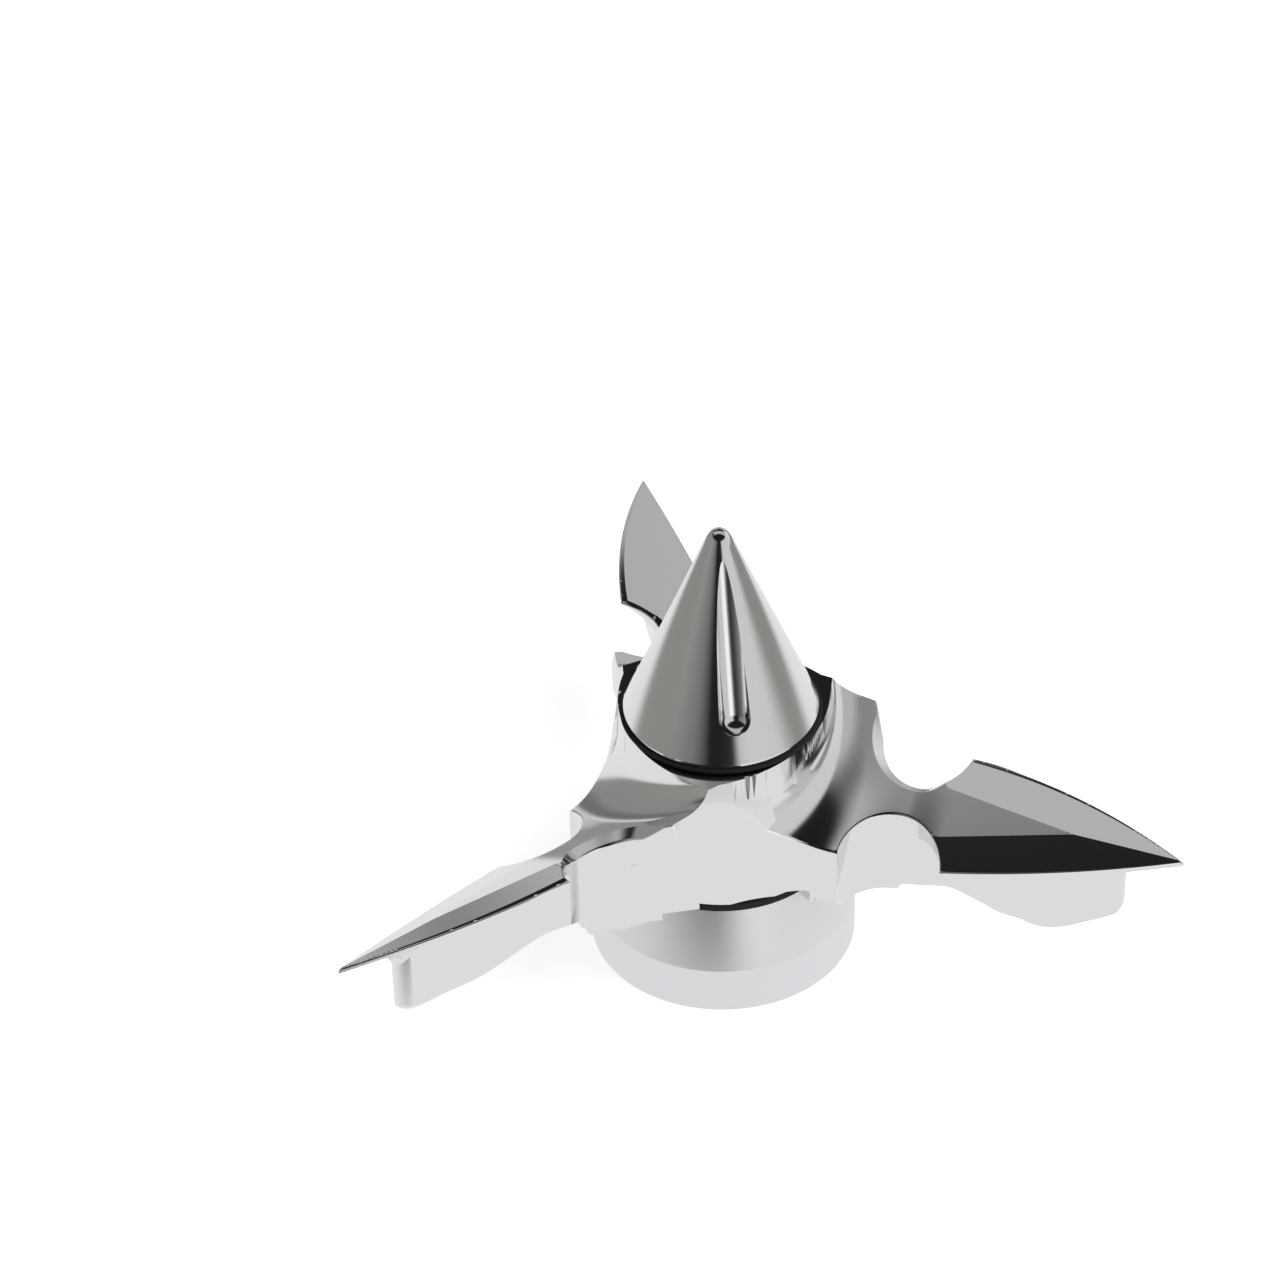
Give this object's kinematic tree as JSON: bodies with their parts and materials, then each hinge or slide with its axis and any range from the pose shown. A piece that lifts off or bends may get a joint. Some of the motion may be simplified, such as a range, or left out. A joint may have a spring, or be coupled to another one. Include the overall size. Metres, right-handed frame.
{
  "type": "motorcycle axle nut cover",
  "caption": "Decorative cover for a motorcycle's axle nut: a turned cup with a chromed bladed spinner on ball bearings and a slotted cone spike.",
  "frame": {"origin": "centre of the nut pocket's mouth, on the cup's foot", "axes": "+Z along the spin axis from the foot to the spike's tip, +X along one blade"},
  "size_m": [0.1266, 0.1462, 0.0894],
  "materials": {
    "turned_aluminium": "fine turned aluminium with circular tool lines",
    "chrome_plate": "mirror chrome plate over machined aluminium",
    "black_rubber": "black rubber ring",
    "bearing_steel": "ground bearing steel",
    "zinc_steel": "zinc plated steel",
    "black_steel": "black oxide steel",
    "cage_brass": "pressed brass ball cage"
  },
  "bodies": {
    "cup": {"base_cup": "turned_aluminium", "set_screws": "black_steel", "lower_ring": "black_rubber", "centre_stud": "zinc_steel", "stud_washer": "zinc_steel", "lower_inner_race": "bearing_steel", "upper_inner_race": "bearing_steel", "bearing_spacer": "turned_aluminium", "lock_nut": "zinc_steel", "upper_ring": "black_rubber", "cone_spike": "chrome_plate"},
    "rotor": {"spinner": "chrome_plate", "lower_outer_race": "bearing_steel", "upper_outer_race": "bearing_steel", "lower_shields": "zinc_steel", "upper_shields": "zinc_steel", "retaining_ring": "black_steel"},
    "lower_ball_set": {"lower_ball_cage": "cage_brass", "lower_balls": "bearing_steel"},
    "upper_ball_set": {"upper_ball_cage": "cage_brass", "upper_balls": "bearing_steel"}
  },
  "joints": [
    {"name": "spinner_spin", "type": "hinge", "parent": "cup", "child": "rotor", "pos_m": [0, 0, 0.0355], "axis": [0, 0, 1], "continuous": true},
    {"name": "lower_balls_travel", "type": "hinge", "parent": "cup", "child": "lower_ball_set", "pos_m": [0, 0, 0.0275], "axis": [0, 0, 1], "continuous": true},
    {"name": "upper_balls_travel", "type": "hinge", "parent": "cup", "child": "upper_ball_set", "pos_m": [0, 0, 0.0435], "axis": [0, 0, 1], "continuous": true}
  ],
  "couplings": [
    {"joint": "lower_balls_travel", "follows": "spinner_spin", "ratio": 0.6323},
    {"joint": "upper_balls_travel", "follows": "spinner_spin", "ratio": 0.6323}
  ]
}
